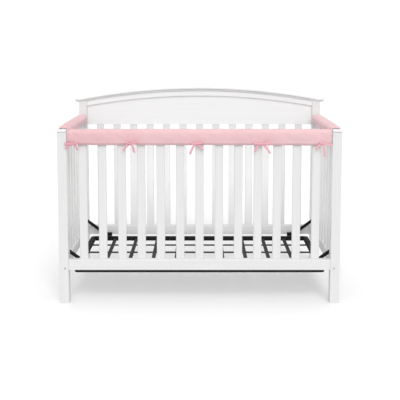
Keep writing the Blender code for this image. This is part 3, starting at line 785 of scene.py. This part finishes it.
def bow_loop(cover, knot, reach, rise):
    """A loop of the bow: out from the knot and back, open in the middle, lying on the padding."""
    along, outward = cover["along"], cover["outward"]
    stand_off = cover["face"] + RIBBON_CLEAR + RIBBON_THICK / 2 + LOOP_OPEN
    stand_off = stand_off - (knot - cover["centre"]) @ outward
    turn = np.linspace(0, 2 * math.pi, LOOP_STEPS)
    out = (1 - np.cos(turn)) / 2
    way = along * reach + UP * rise
    lean = np.minimum(out / LEAN_OVER, 1.0) * stand_off
    off = lean + LOOP_OPEN * np.sin(turn) * np.sqrt(out) + NECK_OPEN * np.cos(turn / 2)
    sag = -LOOP_SAG * out * (1 - out) * np.sign(turn - math.pi)
    path = knot + out[:, None] * way + off[:, None] * outward + sag[:, None] * UP
    beside = np.tile(np.cross(outward, way / np.linalg.norm(way)), (LOOP_STEPS, 1))
    width = LOOP_NECK + (LOOP_TIP - LOOP_NECK) * np.sqrt(out)
    return ribbon(path, beside, width, CUP * out, PLEAT * (1 - out))


def bow_tail(cover, knot, reach, drop):
    """A tail of the bow: a curve from the knot over an elbow to its tip, which turns a little."""
    along, outward = cover["along"], cover["outward"]
    f = np.linspace(0, 1, TAIL_STEPS)[:, None]
    tip = knot + along * reach - UP * drop + outward * TIP_OFF
    elbow = knot + along * reach * ELBOW_REACH - UP * drop * ELBOW_DROP + outward * ELBOW_OFF
    path = (1 - f) ** 2 * knot + 2 * f * (1 - f) * elbow + f**2 * tip
    beside = np.cross(outward, np.gradient(path, axis=0))
    beside = beside / np.linalg.norm(beside, axis=1, keepdims=True)
    twist = TAIL_TWIST * np.sign(reach) * f**2
    beside = beside * np.cos(twist) + outward * np.sin(twist)
    share = f[:, 0]
    width = LOOP_NECK + (RIBBON_WIDTH - LOOP_NECK) * np.minimum(share * TAIL_OPENS, 1.0)
    slant = TAIL_SLANT * np.sign(reach)
    return ribbon(path, beside, width, CUP * share, PLEAT * (1 - share), slant)


def bow_band(cover, knot, band):
    """The band: from the knot round the outer edge, under the rail, and up the inner edge."""
    edge = cover["width"] / 2
    places = np.array((edge, -edge, *(inner - edge for inner in BAND_INNER)))
    over = thickness(cover, band, places) - CLOTH_THICK / 2 + RIBBON_CLEAR + RIBBON_THICK / 2
    stops = np.concatenate([[knot], laid_over(cover, band, places, over)])
    share = np.linspace(0, 1, BAND_STEPS + 1)[:-1, None]
    parts = [a + (b - a) * share for a, b in zip(stops, stops[1:])]
    path = np.concatenate([*parts, stops[-1:]])
    for _ in range(BAND_SMOOTHED):
        path[1:-1] = (path[:-2] + 2 * path[1:-1] + path[2:]) / 4
    width = np.full(len(path), RIBBON_WIDTH)
    width[:BAND_WIDENS] = np.linspace(LOOP_NECK, RIBBON_WIDTH, BAND_WIDENS + 1)[:-1]
    return ribbon(path, np.tile(cover["along"], (len(path), 1)), width, 0.0, 0.0)


def tied_bow(cover, number):
    """A knot with two loops, two tails, and the band that runs under the rail."""
    at, band, slide = (cover[key][number] for key in ("at", "band", "slide"))
    left_loop, right_loop, left_tail, right_tail = cover["ribbons"][number]
    off = CLOTH_THICK / 2 + RIBBON_CLEAR + KNOT_SIZE[1] / 2
    knot = laid_over(cover, at, cover["width"] / 2 - KNOT_IN - slide, off)
    skins = [knot_of(cover, knot)]
    skins += [bow_loop(cover, knot, *loop) for loop in (left_loop, right_loop)]
    skins += [bow_tail(cover, knot, *tail) for tail in (left_tail, right_tail)]
    skins.append(bow_band(cover, knot, band))
    return skins


satin = woven("pink_ribbon", RIBBON_DEEP, RIBBON_PALE, RIBBON_PITCH, RIBBON_SATIN)
bows = {}
for place, cover in COVERS.items():
    bows[place] = []
    for number in range(len(cover["at"])):
        bow = object_of(f"{place}_tied_bow_{number + 1}", tied_bow(cover, number), satin)
        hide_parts(f"{CAD_NAMES[place]}_bow_{number + 1}")
        bows[place].append(bow)


# ---- Floor and light
# A pale floor that runs out of sight, an even white sky, a large soft lamp high in front and a
# little to the right, and three soft fills inside the crib, which the lamp and the sky reach less.

FLOOR_HALF = 60.0
FLOOR_CORNERS = ((-1, -1), (1, -1), (1, 1), (-1, 1))
FLOOR_PAINT = {"Base Color": (0.97, 0.97, 0.97, 1.0), "Roughness": 0.9}
# The sky by height above the horizon (the sine of the angle): light from below, a white band that
# the camera sees, and a dimmer dome
SKY = ((-0.12, 0.71), (-0.03, 1.03), (0.14, 1.03), (0.26, 0.84))
LAMP_FROM = Vector((0.12, -1.0, 0.87))
LAMP_FAR = 5
LAMP_ANGLE = math.radians(35)
LAMP_POWER = 1.28
# Where each fill is, where it faces, its width and height, its spread in degrees, and its power
FILLS = (
    ("fill_to_back", (0.0, -0.30, 0.43), (0.0, 1.0, 0.0), (1.16, 0.60), 60, 0.54),
    ("fill_to_left", (-0.45, -0.02, 0.50), (-1.0, 0.0, 0.0), (0.52, 0.60), 110, 0.28),
    ("fill_to_right", (0.45, -0.02, 0.50), (1.0, 0.0, 0.0), (0.52, 0.60), 110, 0.28),
)


def light_at(name, kind, place, facing, power):
    """A light of this kind and power at a place, turned to its direction."""
    light = bpy.data.objects.new(name, bpy.data.lights.new(name, kind))
    light.data.energy = power
    light.location = place
    light.rotation_euler = facing.to_track_quat("-Z", "Y").to_euler()
    bpy.context.scene.collection.objects.link(light)
    return light


floor_mesh = bpy.data.meshes.new("floor")
corners = [(x * FLOOR_HALF, y * FLOOR_HALF, 0.0) for x, y in FLOOR_CORNERS]
floor_mesh.from_pydata(corners, [], [(0, 1, 2, 3)])
floor_mesh.materials.append(new_finish("pale_floor", FLOOR_PAINT)[0])
floor = bpy.data.objects.new("floor", floor_mesh)
bpy.context.scene.collection.objects.link(floor)
# The floor sends no light back up at the crib
floor.visible_diffuse = False

sky = bpy.data.worlds.new("white_studio")
sky.use_nodes = True
ray = put(sky, "TexCoord", {}, {}).outputs["Generated"]
height = put(sky, "SeparateXYZ", {}, {"Vector": ray}).outputs["Z"]
low, high = SKY[0][0], SKY[-1][0]
share = put(sky, "MapRange", {}, {"Value": height, "From Min": low, "From Max": high})
dome = put(sky, "ValToRGB", {}, {"Fac": share.outputs[0]})
while len(dome.color_ramp.elements) < len(SKY):
    dome.color_ramp.elements.new(0.5)
for stop, (above, bright) in zip(dome.color_ramp.elements, SKY):
    stop.position = (above - low) / (high - low)
    stop.color = (bright, bright, bright, 1.0)
background = sky.node_tree.nodes["Background"]
sky.node_tree.links.new(dome.outputs["Color"], background.inputs["Color"])
bpy.context.scene.world = sky

soft_lamp = light_at("soft_lamp", "SUN", LAMP_FROM * LAMP_FAR, -LAMP_FROM, LAMP_POWER)
soft_lamp.data.angle = LAMP_ANGLE
for name, place, facing, size, spread, power in FILLS:
    fill = light_at(name, "AREA", place, Vector(facing), power)
    fill.data.shape = "RECTANGLE"
    fill.data.size, fill.data.size_y = size
    fill.data.spread = math.radians(spread)
    fill.visible_camera = False

bpy.context.scene.view_settings.view_transform = "Standard"
